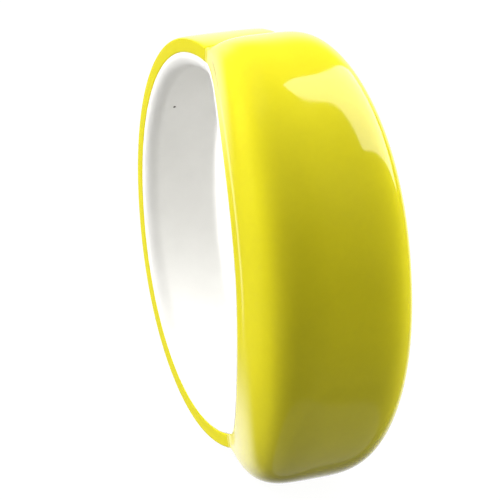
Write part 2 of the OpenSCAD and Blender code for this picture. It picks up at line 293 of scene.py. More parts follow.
def end_rounded(form, angles, section, radius):
    """Rings along the angles, with both end edges rounded: the last rings step along the rim by
    radius * (1 - sin a) while their section shrinks by radius * (1 - cos a)."""
    a = np.radians(np.linspace(0, 90, 5))
    first, last = angles[0], angles[-1]
    back = form.degrees_of(last, radius) * (1 - np.sin(a))
    fore = form.degrees_of(first, radius) * (1 - np.sin(a))
    middle = angles[(angles > first + fore[0]) & (angles < last - back[0])]
    t = np.concatenate([first + fore[::-1], middle, last - back])
    shrink = np.zeros(len(t))
    shrink[:5] = radius * (1 - np.cos(a[::-1]))
    shrink[-5:] = radius * (1 - np.cos(a))
    x, h = section(t)
    around = np.stack([np.roll(x, -1, 1) - np.roll(x, 1, 1), np.roll(h, -1, 1) - np.roll(h, 1, 1)])
    size = np.maximum(np.hypot(*around), 1e-9)
    area = (x * np.roll(h, -1, 1) - np.roll(x, -1, 1) * h).sum(1, keepdims=True)
    turn = np.sign(area)
    x = x - turn * around[1] / size * shrink[:, None]
    h = h + turn * around[0] / size * shrink[:, None]
    return form.place(t[:, None], x, h)


# ---- meshes ---------------------------------------------------------------------------------------

def skin(rings):
    """Faces of a closed skin through equal rings, with one flat face over each end."""
    n, m = rings.shape[:2]
    row = np.arange(n - 1)[:, None] * m
    j = np.arange(m)
    k = (j + 1) % m
    quads = np.stack([row + j, row + k, row + m + k, row + m + j], -1).reshape(-1, 4)
    caps = [list(range(m))[::-1], list(range((n - 1) * m, n * m))]
    return rings.reshape(-1, 3), quads.tolist() + caps


def turned(profile, steps=64):
    """Solid of revolution about +Z: a profile of (radius, height) carried round. Where its first and
    last radius are 0 the poles close it; otherwise the profile is a loop and makes a ring."""
    profile = np.array(profile, float)
    a = np.linspace(0, TURN, steps, endpoint=False)
    solid = profile[0, 0] == 0
    body = profile[1:-1] if solid else profile
    x = np.outer(np.cos(a), body[:, 0])
    y = np.outer(np.sin(a), body[:, 0])
    points = np.stack([x, y, np.broadcast_to(body[:, 1], x.shape)], -1).reshape(-1, 3)
    m = len(body)
    i = np.arange(steps)[:, None] * m
    i_next = (np.arange(steps)[:, None] + 1) % steps * m
    j = np.arange(m - 1 if solid else m)
    k = (j + 1) % m
    faces = np.stack([i + j, i_next + j, i_next + k, i + k], -1).reshape(-1, 4).tolist()
    if solid:
        n = len(points)
        poles = [[0, 0, profile[0, 1]], [0, 0, profile[-1, 1]]]
        points = np.concatenate([points, poles])
        i, i_next = i.ravel(), i_next.ravel()
        faces += np.stack([np.full(steps, n), i_next, i], -1).tolist()
        faces += np.stack([np.full(steps, n + 1), i + m - 1, i_next + m - 1], -1).tolist()
    return points, faces


def rounded_disc(radius, low, high, edge, steps=5):
    """Profile of a disc whose two rims are quarter arcs of radius edge."""
    a = np.linspace(0, np.pi / 2, steps)
    foot = np.stack([radius - edge + edge * np.sin(a), low + edge - edge * np.cos(a)], -1)
    head = np.stack([radius - edge + edge * np.cos(a), high - edge + edge * np.sin(a)], -1)
    return np.concatenate([[[0, low]], foot, head, [[0, high]]])


def tube(radius, bore, low, high, edge):
    """Closed profile loop of a tube with bevelled ends."""
    return [(bore, low + edge), (bore + edge, low), (radius - edge, low), (radius, low + edge),
            (radius, high - edge), (radius - edge, high), (bore + edge, high), (bore, high - edge)]


def block(low, high):
    """Corners and faces of a box."""
    corners = np.array([[x, y, z] for x in (0, 1) for y in (0, 1) for z in (0, 1)], float)
    faces = [[0, 1, 3, 2], [4, 6, 7, 5], [0, 4, 5, 1], [2, 3, 7, 6], [0, 2, 6, 4], [1, 5, 7, 3]]
    return np.array(low) + corners * (np.array(high) - np.array(low)), faces


def joined(*shapes):
    """Several shapes as one list of points and faces."""
    points, faces = [], []
    for shape_points, shape_faces in shapes:
        start = sum(len(p) for p in points)
        points.append(np.asarray(shape_points))
        faces += [[start + v for v in face] for face in shape_faces]
    return np.concatenate(points), faces


def moved(shape, matrix):
    """A shape carried by a 4 x 4 matrix."""
    m = np.array(matrix)
    return shape[0] @ m[:3, :3].T + m[:3, 3], shape[1]


def towards_front(z=0.0, x=0.0):
    """Frame whose +Z points to the front of the case."""
    return Matrix.Translation((x, 0, z)) @ Matrix.Rotation(np.radians(90), 4, "X")


def at_rim(form, t, x=0.0, h=0.0):
    """Frame on the rim: +Z points outwards, +Y along the rim towards larger angles."""
    ny, nz = form.normal(np.array(float(t)))
    place = form.place(np.array(float(t)), x, h)
    return Matrix.Translation(place.tolist()) @ Matrix.Rotation(np.arctan2(-ny, nz), 4, "X")


ALONG_X = Matrix.Rotation(np.radians(90), 4, "Y")


def new_mesh(name, shape):
    """A mesh with its faces outwards: they are turned round where the signed volume is negative."""
    points, faces = shape
    mesh = bpy.data.meshes.new(name)
    mesh.from_pydata(np.asarray(points) * MM, [], faces)
    mesh.update()
    mesh.calc_loop_triangles()
    corners = np.empty(len(mesh.loop_triangles) * 3, np.int32)
    mesh.loop_triangles.foreach_get("vertices", corners)
    a, b, c = (np.asarray(points) * MM)[corners.reshape(-1, 3)].transpose(1, 0, 2)
    if np.einsum("ij,ij->i", a, np.cross(b, c)).sum() < 0:
        mesh.flip_normals()
    return mesh


def carved(name, shape, cuts=(), adds=()):
    """A mesh with solids added to it and then cut from it."""
    body = bpy.data.objects.new(name, new_mesh(name, shape))
    bpy.context.scene.collection.objects.link(body)
    tools = []
    for operation, solids in (("UNION", adds), ("DIFFERENCE", cuts)):
        for solid in solids:
            tool = bpy.data.objects.new("tool", new_mesh("tool", solid))
            bpy.context.scene.collection.objects.link(tool)
            modifier = body.modifiers.new(operation.title(), "BOOLEAN")
            modifier.operation = operation
            modifier.solver = "EXACT"
            modifier.object = tool
            tools.append(tool)
    bpy.context.view_layer.update()
    result = bpy.data.meshes.new_from_object(body.evaluated_get(bpy.context.evaluated_depsgraph_get()))
    for spent in [body] + tools:
        bpy.data.objects.remove(spent)
    return result


def piece(name, mesh, body, node, finish, sharp=32.0):
    """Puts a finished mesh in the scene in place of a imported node, riding on its body."""
    mesh.name = name
    mesh.polygons.foreach_set("use_smooth", np.ones(len(mesh.polygons), bool))
    mesh.set_sharp_from_angle(angle=np.radians(sharp))
    mesh.materials.clear()
    mesh.materials.append(finish)
    made = bpy.data.objects.new(name, mesh)
    bpy.context.scene.collection.objects.link(made)
    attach(made, body)
    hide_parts(node)
    return made


# ---- finishes -------------------------------------------------------------------------------------

def add(tree, kind, inputs=(), **settings):
    """Adds a node: settings are its properties, and inputs gives values or outputs by name or place."""
    node = tree.nodes.new(kind)
    for key, value in settings.items():
        setattr(node, key, value)
    for key, value in dict(inputs).items():
        if isinstance(value, bpy.types.NodeSocket):
            tree.links.new(value, node.inputs[key])
        else:
            node.inputs[key].default_value = value
    return node


def rgba(rgb, gain=1.0):
    return tuple(min(channel * gain, 1.0) for channel in rgb) + (1.0,)


def new_finish(name, **sockets):
    """A material with one Principled shader, and its tree, shader and object coordinates."""
    material = bpy.data.materials.new(name)
    material.use_nodes = True
    tree = material.node_tree
    shader = tree.nodes["Principled BSDF"]
    for key, value in sockets.items():
        shader.inputs[key.replace("_", " ")].default_value = value
    place = add(tree, "ShaderNodeTexCoord").outputs["Object"]
    return material, tree, shader, place


def per_metre(mm):
    """Noise scale whose features are mm wide on object coordinates in metres."""
    return 1 / (mm * MM)


def gloss_yellow_abs(finish):
    """Gloss ABS from a polished mould: even pigment with faint flow clouds, a waviness too slight
    to bend reflections, and hairline scuffs that only show in the gloss."""
    material, tree, shader, place = new_finish(
        "gloss_moulded_abs_yellow", Roughness=0.07, IOR=1.5, Subsurface_Weight=0.12,
        Subsurface_Radius=(1.0, 0.85, 0.12), Subsurface_Scale=0.0012)
    clouds = add(tree, "ShaderNodeTexNoise",
                 {"Vector": place, "Scale": per_metre(9), "Detail": 3.0, "Roughness": 0.55})
    specks = add(tree, "ShaderNodeTexNoise",
                 {"Vector": place, "Scale": per_metre(0.9), "Detail": 2.0, "Roughness": 0.6})
    blend = add(tree, "ShaderNodeMath", {0: specks.outputs["Fac"], 1: 0.35, 2: clouds.outputs["Fac"]},
                operation="MULTIPLY_ADD")
    ramp = add(tree, "ShaderNodeValToRGB", {"Fac": blend.outputs[0]})
    ramp.color_ramp.elements[0].position = 0.45
    ramp.color_ramp.elements[1].position = 0.95
    ramp.color_ramp.elements[0].color = rgba(finish.yellow, 0.965)
    ramp.color_ramp.elements[1].color = rgba(finish.yellow, 1.03)
    tree.links.new(ramp.outputs["Color"], shader.inputs["Base Color"])
    scuffs = add(tree, "ShaderNodeTexNoise",
                 {"Vector": place, "Scale": per_metre(3.5), "Detail": 6.0, "Roughness": 0.7})
    gloss = add(tree, "ShaderNodeMapRange",
                {"Value": scuffs.outputs["Fac"], 1: 0.35, 2: 0.75, 3: 0.055, 4: 0.11})
    tree.links.new(gloss.outputs["Result"], shader.inputs["Roughness"])
    waves = add(tree, "ShaderNodeTexNoise",
                {"Vector": place, "Scale": per_metre(5), "Detail": 1.0, "Roughness": 0.4})
    bump = add(tree, "ShaderNodeBump",
               {"Height": waves.outputs["Fac"], "Strength": 0.02, "Distance": 0.00002})
    tree.links.new(bump.outputs["Normal"], shader.inputs["Normal"])
    return material


def satin_white_abs(finish, gate=None):
    """White ABS from a lightly spark-eroded mould: a soft sheen over a fine even grain, with faint
    cloudy sink marks. Where gate is given, a dark vestige of that radius marks the moulding gate."""
    material, tree, shader, place = new_finish("satin_moulded_abs_white", Roughness=0.34, IOR=1.5)
    clouds = add(tree, "ShaderNodeTexNoise",
                 {"Vector": place, "Scale": per_metre(6), "Detail": 4.0, "Roughness": 0.55})
    ramp = add(tree, "ShaderNodeValToRGB", {"Fac": clouds.outputs["Fac"]})
    ramp.color_ramp.elements[0].position = 0.3
    ramp.color_ramp.elements[1].position = 0.7
    ramp.color_ramp.elements[0].color = rgba(finish.white, 0.955)
    ramp.color_ramp.elements[1].color = rgba(finish.white, 1.0)
    tone = ramp.outputs["Color"]
    if gate is not None:
        centre, radius = gate
        away = add(tree, "ShaderNodeVectorMath", {0: place, 1: centre}, operation="DISTANCE")
        spot = add(tree, "ShaderNodeMapRange",
                   {"Value": away.outputs["Value"], 1: radius * 0.7, 2: radius * 1.3, 3: 1.0, 4: 0.0})
        mix = add(tree, "ShaderNodeMix", {"Factor": spot.outputs["Result"], 6: tone,
                                          7: rgba(linear("#4c4b42"))}, data_type="RGBA")
        tone = mix.outputs[2]
        material.name = "satin_moulded_abs_white_gated"
    tree.links.new(tone, shader.inputs["Base Color"])
    grain = add(tree, "ShaderNodeTexNoise",
                {"Vector": place, "Scale": per_metre(0.3), "Detail": 3.0, "Roughness": 0.6})
    bump = add(tree, "ShaderNodeBump",
               {"Height": grain.outputs["Fac"], "Strength": 0.35, "Distance": 0.00002})
    tree.links.new(bump.outputs["Normal"], shader.inputs["Normal"])
    return material


def metal(name, tone, roughness, grain_mm, stretch, depth_mm):
    """Plain metal: a tone that drifts a little, and a grain stretched along the way it was worked."""
    material, tree, shader, place = new_finish(name, Metallic=1.0, Roughness=roughness)
    mapped = add(tree, "ShaderNodeMapping", {"Vector": place, "Scale": stretch})
    grain = add(tree, "ShaderNodeTexNoise", {"Vector": mapped.outputs[0], "Scale": per_metre(grain_mm),
                                             "Detail": 4.0, "Roughness": 0.65})
    ramp = add(tree, "ShaderNodeValToRGB", {"Fac": grain.outputs["Fac"]})
    ramp.color_ramp.elements[0].position = 0.3
    ramp.color_ramp.elements[1].position = 0.7
    ramp.color_ramp.elements[0].color = rgba(tone, 0.8)
    ramp.color_ramp.elements[1].color = rgba(tone, 1.08)
    tree.links.new(ramp.outputs["Color"], shader.inputs["Base Color"])
    rough = add(tree, "ShaderNodeMapRange", {"Value": grain.outputs["Fac"], 1: 0.3, 2: 0.7,
                                             3: roughness * 0.75, 4: roughness * 1.3})
    tree.links.new(rough.outputs["Result"], shader.inputs["Roughness"])
    bump = add(tree, "ShaderNodeBump", {"Height": grain.outputs["Fac"], "Strength": 0.4,
                                        "Distance": depth_mm * MM})
    tree.links.new(bump.outputs["Normal"], shader.inputs["Normal"])
    return material


def plastic(name, tone, roughness, grain_mm, contrast, depth_mm, ior=1.5):
    """Small moulded part: an even tone with a little drift, and a fine mould grain."""
    material, tree, shader, place = new_finish(name, Roughness=roughness, IOR=ior)
    grain = add(tree, "ShaderNodeTexNoise", {"Vector": place, "Scale": per_metre(grain_mm),
                                             "Detail": 4.0, "Roughness": 0.6})
    ramp = add(tree, "ShaderNodeValToRGB", {"Fac": grain.outputs["Fac"]})
    ramp.color_ramp.elements[0].position = 0.3
    ramp.color_ramp.elements[1].position = 0.7
    ramp.color_ramp.elements[0].color = rgba(tone, 1 - contrast)
    ramp.color_ramp.elements[1].color = rgba(tone, 1 + contrast)
    tree.links.new(ramp.outputs["Color"], shader.inputs["Base Color"])
    bump = add(tree, "ShaderNodeBump", {"Height": grain.outputs["Fac"], "Strength": 0.4,
                                        "Distance": depth_mm * MM})
    tree.links.new(bump.outputs["Normal"], shader.inputs["Normal"])
    return material


def solder_mask(finish):
    """Green solder mask over a glass-fibre board: glossy, with the tracks showing as lighter ribs."""
    material, tree, shader, place = new_finish("green_solder_mask", Roughness=0.25, IOR=1.55)
    tracks = add(tree, "ShaderNodeTexBrick",
                 {"Vector": place, "Color1": rgba(finish.laminate), "Color2": rgba(finish.laminate, 0.8),
                  "Mortar": rgba(finish.laminate, 1.9), "Scale": per_metre(2.2), "Mortar Size": 0.06,
                  "Brick Width": 1.4, "Row Height": 0.5}, offset=0.37)
    mapped = add(tree, "ShaderNodeMapping", {"Vector": place, "Rotation": (np.pi / 2, 0, 0)})
    tree.links.new(mapped.outputs[0], tracks.inputs["Vector"])
    tree.links.new(tracks.outputs["Color"], shader.inputs["Base Color"])
    bump = add(tree, "ShaderNodeBump", {"Height": tracks.outputs["Fac"], "Strength": 0.5,
                                        "Distance": 0.00003})
    tree.links.new(bump.outputs["Normal"], shader.inputs["Normal"])
    return material


def finish_named(kind):
    """Makes a finish the first time it is asked for, and shares it afterwards."""
    if kind in bpy.data.materials:
        return bpy.data.materials[kind]
    look = bpy.context.scene.bangle_finish
    made = {
        "gloss_moulded_abs_yellow": lambda: gloss_yellow_abs(look),
        "satin_moulded_abs_white": lambda: satin_white_abs(look),
        "tumbled_stainless_steel": lambda: metal(kind, look.steel, 0.28, 0.5, (0.25, 1, 1), 0.01),
        "bright_nickel_plate": lambda: metal(kind, look.nickel, 0.18, 0.8, (1, 1, 1), 0.004),
        "gold_plated_contact": lambda: metal(kind, look.brass, 0.24, 0.4, (1, 1, 1), 0.005),
        "green_solder_mask": lambda: solder_mask(look),
        "black_moulded_pbt": lambda: plastic(kind, look.black, 0.42, 0.35, 0.12, 0.02),
        "red_diffused_polycarbonate": lambda: plastic(kind, look.red, 0.2, 1.5, 0.08, 0.01, 1.58),
        "black_nitrile_rubber": lambda: plastic(kind, look.rubber, 0.6, 0.2, 0.15, 0.02, 1.52),
        "white_moulded_acetal": lambda: plastic(kind, look.white, 0.3, 0.5, 0.03, 0.01, 1.48),
    }[kind]()
    made.name = kind
    return made


# ---- pieces ---------------------------------------------------------------------------------------

class Fittings:
    """Sizes and places that the shells share with their hinge, clasp and screws."""
    knuckle_r, pin_r, pin_half = 1.1, 0.5, 5.0
    leaf_half, knuckle_half, leaf_reach = 5.1, 2.45, 3.4
    leaf_low, leaf_high, barrel_room = -1.25, -0.6, 1.25
    tongue_half, tongue_t, tongue_mid, tongue_out, tongue_in = 2.8, 1.2, 1.25, 3.2, 3.4
    magnet_r, magnet_len, magnet_x, magnet_gap = 0.9, 3.0, 4.8, 0.1
    screw_at, screw_x, screw_r, head_r, head_h = 50.0, 5.6, 0.75, 1.4, 0.9
    insert = 0.03

    def __init__(self, form):
        self.form = form
        self.hinge = at_rim(form, -form.split, 0, form.band_top)
        pivot = form.place(np.array(-form.split), 0, form.band_top)
        clasp = form.place(np.array(form.split), 0, self.tongue_mid)
        self.pivot = pivot
        self.arm = np.hypot(clasp[1] - pivot[1], clasp[2] - pivot[2])
        self.arm_at = np.arctan2(clasp[2] - pivot[2], clasp[1] - pivot[1])

    def screws(self):
        for t in (-self.screw_at, self.screw_at):
            for x in (-self.screw_x, self.screw_x):
                yield at_rim(self.form, t, x)

    def leaf(self, way, grow):
        """Flat leaf of the hinge, in its slot: way 1 is the case's, -1 the band's."""
        low = (-self.leaf_half - grow, self.barrel_room - grow, self.leaf_low - grow)
        high = (self.leaf_half + grow, self.leaf_reach + grow, self.leaf_high + grow)
        points, faces = block(low, high)
        return moved((points * np.array([1, way, 1]), faces), self.hinge)

    def clasp_bar(self, half, thick, front, rear, edge=0.0):
        """Bar along a circle round the hinge's axis: a rectangle with rounded corners, turned from
        front mm before the joint to rear mm past it, its ends eased by the same radius."""
        ends = np.linspace(0, np.pi / 2, 4) if edge else np.zeros(1)
        step = edge * (1 - np.sin(ends))
        a = np.concatenate([-rear + step[::-1], np.linspace(0.4 - rear, front - 0.4, 12), front - step])
        shrink = edge * (1 - np.cos(ends))
        shrink = np.concatenate([shrink[::-1], np.zeros(12), shrink])[:, None]
        turn = np.radians(np.arange(4) * 90 + 45)[:, None] + np.radians(np.linspace(-45, 45, 5))
        corner = np.sign(np.stack([np.cos(np.radians(np.arange(4) * 90 + 45)),
                                   np.sin(np.radians(np.arange(4) * 90 + 45))]))[..., None]
        arc = max(edge, 1e-4)
        x = (corner[0] * (half - arc) + arc * np.cos(turn)).ravel()
        r = (corner[1] * (thick / 2 - arc) + arc * np.sin(turn)).ravel()
        x = x * (1 - shrink / half)
        r = self.arm + r * (1 - 2 * shrink / thick)
        angle = self.arm_at + (a / self.arm)[:, None]
        rings = np.stack([x, self.pivot[1] + r * np.cos(angle), self.pivot[2] + r * np.sin(angle)], -1)
        return skin(rings)

    def magnet_holes(self, way, profile):
        """A turned profile laid at both magnet places, its +Z running into the part from the joint."""
        for x in (-self.magnet_x, self.magnet_x):
            frame_at = at_rim(self.form, self.form.split, x, self.tongue_mid)
            yield moved(turned(profile, 48), frame_at @ Matrix.Rotation(np.radians(-90 * way), 4, "X"))

    def magnet_pockets(self, way):
        """Blind holes that the two magnets of one side are pressed into."""
        depth = self.magnet_len + self.form.split_gap
        return list(self.magnet_holes(way, rounded_disc(self.magnet_r + self.insert, -0.5, depth, 0.03)))

    def barrel_groove(self):
        reach = self.leaf_half + 0.2
        return moved(turned(rounded_disc(self.barrel_room, -reach, reach, 0.05), 64), self.hinge @ ALONG_X)


def form_and_fittings(context):
    """The bangle's form at the panel's sizes, and the fittings placed on it."""
    form = Form(context.scene.bangle_sizes)
    return form, Fittings(form)


class BANGLE_OT_case_shell(bpy.types.Operator):
    """Yellow shell of the case, hollow behind its crown"""
    bl_idname = "bangle.case_shell"
    bl_label = "Case shell"

    def execute(self, context):
        form, fit = form_and_fittings(context)
        u = arc_samples(form, 104, form.case_w / 2, form.crown_h)
        inner_u = arc_samples(form, 48, 11.0, 13.0)
        edge = form.split - form.degrees_of(form.split, form.split_gap / 2)
        v = np.linspace(-1, 1, 221)
        spread = form.case_half * (3 * v - v ** 3) / 2
        walls = form.cavity - np.array([0, form.cavity_end])
        near_wall = np.abs(np.abs(spread) - form.cavity + form.cavity_end / 2) < 0.45
        angles = np.sort(np.concatenate([[-edge, edge], walls, -walls, spread[~near_wall]]))

        def section(t):
            outer_x, outer_h = outer_section(form, t, u)
            inner_x, inner_h = inner_section(form, t, inner_u)
            return np.append(outer_x, inner_x, 1), np.append(outer_h, inner_h, 1)

        shape = skin(end_rounded(form, angles, section, form.end_edge))
        boss_high = form.side_h + float(form.crown(fit.screw_at)) - form.wall / 2 - 0.35
        bosses = [moved(turned(rounded_disc(2.0, 0, boss_high, 0.05)), at) for at in fit.screws()]
        holes = [moved(turned(rounded_disc(fit.screw_r + fit.insert, -1, 5.6, 0.05), 32), at)
                 for at in fit.screws()]
        room = block((-fit.leaf_half - fit.insert, -0.5, fit.leaf_low - fit.insert),
                     (fit.leaf_half + fit.insert, fit.barrel_room + 0.1, 0))
        button = context.scene.bangle_button
        hole_r = button.radius / MM + 0.09
        bore = np.array([(0, 8), (hole_r, 8), (hole_r, button.wall_x / MM - 0.18),
                         (hole_r + 0.22, button.wall_x / MM + 0.04), (hole_r + 0.22, 15), (0, 15)])
        cuts = holes + [fit.barrel_groove(), fit.leaf(1, fit.insert), moved(room, fit.hinge),
                        fit.clasp_bar(fit.tongue_half + 0.15, fit.tongue_t + 0.3, fit.tongue_out + 0.3, 2),
                        moved(turned(bore, 96), button_place(button))]
        cuts += fit.magnet_pockets(-1)
        mesh = carved("case_shell", shape, cuts, bosses)
        piece("case_shell_moulding", mesh, "case", "case_shell",
              finish_named("gloss_moulded_abs_yellow"))
        return {"FINISHED"}


class BANGLE_OT_band_shell(bpy.types.Operator):
    """Yellow outer shell of the rear band"""
    bl_idname = "bangle.band_shell"
    bl_label = "Band shell"

    def execute(self, context):
        form, fit = form_and_fittings(context)
        u = arc_samples(form, 60, 7.0, 2.0)
        edge = form.split + form.degrees_of(form.split, form.split_gap / 2)
        angles = np.linspace(edge, 360 - edge, 241)
        lid = np.linspace(-1, 1, 13)[1:-1]

        def section(t):
            x, h = outer_section(form, t, u)
            flat = lid * (form.half_width(t)[:, None] - form.edge)
            return np.append(x, flat, 1), np.append(h, 0 * flat, 1)

        shape = skin(end_rounded(form, angles, section, form.end_edge))
        room = block((-fit.leaf_half - fit.insert, -fit.barrel_room - 0.1, fit.leaf_low - fit.insert),
                     (fit.leaf_half + fit.insert, 0.5, 0))
        cuts = [fit.barrel_groove(), fit.leaf(-1, fit.insert), moved(room, fit.hinge),
                fit.clasp_bar(fit.tongue_half + fit.insert, fit.tongue_t + 2 * fit.insert, 2,
                              fit.tongue_in + fit.insert)]
        cuts += fit.magnet_pockets(1)
        mesh = carved("band_shell", shape, cuts)
        piece("band_shell_moulding", mesh, "band", "band_shell",
              finish_named("gloss_moulded_abs_yellow"))
        return {"FINISHED"}


class BANGLE_OT_liners(bpy.types.Operator):
    """White liners of the case and of the band"""
    bl_idname = "bangle.liners"
    bl_label = "Liners"

    def execute(self, context):
        form, fit = form_and_fittings(context)
        bay = Bay(form)
        inner = form.degrees_of(form.split, form.split_gap / 2)
        top = -form.glue_gap

        def section(t):
            return liner_section(form, t, top)

        case_edge, band_edge = form.split - inner, form.split + inner
        shape = skin(end_rounded(form, np.linspace(-case_edge, case_edge, 201), section, form.end_edge))
        adds = [moved(turned(rounded_disc(bay.wall_r, bay.face + 0.4, bay.mouth, 0.1), 96), towards_front())]
        cuts = [moved(turned(rounded_disc(bay.door_r + 0.1, 15, bay.ledge, 0.02), 128), towards_front()),
                moved(turned(rounded_disc(bay.bore_r, 15, bay.mouth + 1, 0.02), 96), towards_front())]
        for z in (-bay.post_z, bay.post_z):
            post = rounded_disc(bay.post_r, 23.2, bay.board_from - 0.02, 0.05)
            adds.append(moved(turned(post, 48), towards_front(z)))
            hole = rounded_disc(bay.post_screw_r, bay.board_from - 5, bay.board_from + 1, 0.02)
            cuts.append(moved(turned(hole, 32), towards_front(z)))
        for at in fit.screws():
            seat = rounded_disc(fit.head_r + 0.1, -form.liner_t - 2, 0.15 + fit.head_h + 0.05 - form.liner_t,
                                0.05)
            shank = rounded_disc(fit.screw_r + 0.1, -form.liner_t - 2, 1, 0.02)
            cuts += [moved(turned(seat, 48), at), moved(turned(shank, 32), at)]
        piece("case_liner_moulding", carved("case_liner", shape, cuts, adds), "case", "case_liner",
              finish_named("satin_moulded_abs_white"))

        shape = skin(end_rounded(form, np.linspace(band_edge, 360 - band_edge, 221), section, form.end_edge))
        gate = context.scene.bangle_gate
        gate_at = form.place(np.array(np.degrees(gate.turn)), gate.across / MM, -form.liner_t)
        dimple = turned([(0, -0.2), (gate.radius / MM, -0.2), (gate.radius / MM, 0.02), (0, 0.08)], 24)
        around = at_rim(form, np.degrees(gate.turn), gate.across / MM, -form.liner_t)
        mesh = carved("band_liner", shape, [moved(dimple, around)])
        marked = satin_white_abs(context.scene.bangle_finish, (tuple(gate_at * MM), gate.radius))
        piece("band_liner_moulding", mesh, "band", "band_liner", marked)
        return {"FINISHED"}


class Bay:
    """Battery bay along the middle of the case: distances from the origin towards the front."""
    wall_r, door_r, bore_r, plug_r = 10.4, 9.5, 8.3, 8.25
    post_z, post_r, post_screw_r = 17.5, 1.8, 0.53

    def __init__(self, form):
        self.face = form.rim_d / 2 - form.liner_t
        self.door_face = self.face + 0.2
        self.ledge = self.door_face + 1.23
        self.plug = self.ledge + 1.2
        cell_to = self.plug + 0.05 + 3.2
        self.mouth = cell_to - 0.3
        self.board_from = cell_to + 0.85


class BangleGate(bpy.types.PropertyGroup):
    """Moulding gate mark on the inside of the band's liner."""
    turn: bpy.props.FloatProperty(name="Turn", description="Angle round the rim from the front",
                                  default=np.radians(139.0), subtype="ANGLE")
    across: length("Across", "Offset along the wrist", -0.0033)
    radius: length("Radius", "Radius of the mark", 0.00023)


class BangleButton(bpy.types.PropertyGroup):
    """Push button on the right side wall."""
    radius: length("Radius", "Radius of the cap", 0.00193)
    depth: length("Depth", "Distance of its axis in front of the origin", -sum(
        (c[1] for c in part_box("button_cap"))) / 2)
    height: length("Height", "Height of its axis above the origin", sum(
        (c[2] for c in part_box("button_cap"))) / 2)
    face_x: length("Face", "Where its face lies along the wrist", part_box("button_cap")[1][0])
    wall_x: length("Wall", "Where the case's side wall lies there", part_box("button_cap")[1][0] - 0.0008)


def button_place(button):
    """Frame on the button's axis, with +Z along the wrist."""
    return Matrix.Translation((0, -button.depth / MM, button.height / MM)) @ ALONG_X


class BANGLE_OT_button(bpy.types.Operator):
    """Push button with its dished face"""
    bl_idname = "bangle.button"
    bl_label = "Button"

    def execute(self, context):
        button = context.scene.bangle_button
        r, face = button.radius / MM, button.face_x / MM
        a = np.linspace(0, np.pi / 2, 7)
        rim = [(r - 0.3 + 0.3 * np.cos(b), face - 0.3 + 0.3 * np.sin(b)) for b in a]
        dish = [(q * (r - 0.35), face - 0.14 * (1 - q * q)) for q in (0.96, 0.85, 0.7, 0.5, 0.3, 0.15)]
        profile = [(0, 9.12), (0.8, 9.12), (0.8, 9.4), (2.5, 9.4), (2.5, 9.9), (r, 9.9), (r, 11.2),
                   (1.5, 11.2), (1.5, 11.8), (r, 11.8)] + rim + dish + [(0, face - 0.14)]
        mesh = new_mesh("button", moved(turned(profile, 96), button_place(button)))
        piece("button_cap_moulding", mesh, "button", "button_cap",
              finish_named("gloss_moulded_abs_yellow"))
        return {"FINISHED"}


class BANGLE_OT_battery_door(bpy.types.Operator):
    """Round battery door with a coin slot"""
    bl_idname = "bangle.battery_door"
    bl_label = "Battery door"

    def execute(self, context):
        form = Form(context.scene.bangle_sizes)
        bay = Bay(form)
        face, step = bay.door_face, bay.ledge - 0.03
        rim = [(bay.door_r - 0.35 + 0.35 * np.sin(b), face + 0.35 - 0.35 * np.cos(b))
               for b in np.linspace(0, np.pi / 2, 6)]
        groove = [(7.2, face), (7.1, face + 0.18), (6.8, face + 0.18), (6.7, face)]
        profile = [(0, face)] + groove[::-1] + rim
        profile += [(bay.door_r, step), (bay.plug_r, step), (bay.plug_r, bay.plug), (0, bay.plug)]
        a = np.linspace(-90, 90, 13)
        end = np.stack([4.7 + 0.8 * np.cos(np.radians(a)), 0.8 * np.sin(np.radians(a))], -1)
        outline = np.concatenate([end, -end])
        rings = [np.column_stack([outline * grow, np.full(len(outline), h)])
                 for grow, h in ((1.03, face - 0.5), (1.03, face), (1.0, face + 0.12), (0.97, face + 0.8))]
        slot = skin(np.array(rings))
        mesh = carved("door", moved(turned(profile, 128), towards_front()), [moved(slot, towards_front())])
        piece("battery_door_moulding", mesh, "case", "battery_door",
              finish_named("satin_moulded_abs_white"))
        return {"FINISHED"}


class BANGLE_OT_liner_screws(bpy.types.Operator):
    """Four cross-head screws that hold the case's liner"""
    bl_idname = "bangle.liner_screws"
    bl_label = "Liner screws"

    def execute(self, context):
        form, fit = form_and_fittings(context)
        low = -form.liner_t + 0.15
        dome = [(fit.head_r * np.sin(b), low + 0.28 * (1 - np.cos(b))) for b in np.linspace(0, np.pi / 2, 8)]
        profile = dome + [(fit.head_r, low + fit.head_h - 0.05), (fit.head_r - 0.05, low + fit.head_h),
                          (fit.screw_r, low + fit.head_h), (fit.screw_r, low + form.liner_t + 4.6),
                          (0, low + form.liner_t + 5)]
        screws, slots = [], []
        for at in fit.screws():
            screws.append(moved(turned(profile, 48), at))
            arm = np.array([(-0.95, -0.16), (0.95, -0.16), (0.95, 0.16), (-0.95, 0.16)])
            for turn in (0, 90):
                rings = [np.column_stack([arm * (g, 1), np.full(4, h)])
                         for g, h in ((1.0, low - 0.3), (1.0, low + 0.05), (0.45, low + 0.62))]
                slots.append(moved(skin(np.array(rings)), at @ Matrix.Rotation(np.radians(turn), 4, "Z")))
        mesh = carved("screws", joined(*screws), slots)
        piece("liner_screw_set", mesh, "case", "liner_screws",
              finish_named("tumbled_stainless_steel"))
        return {"FINISHED"}


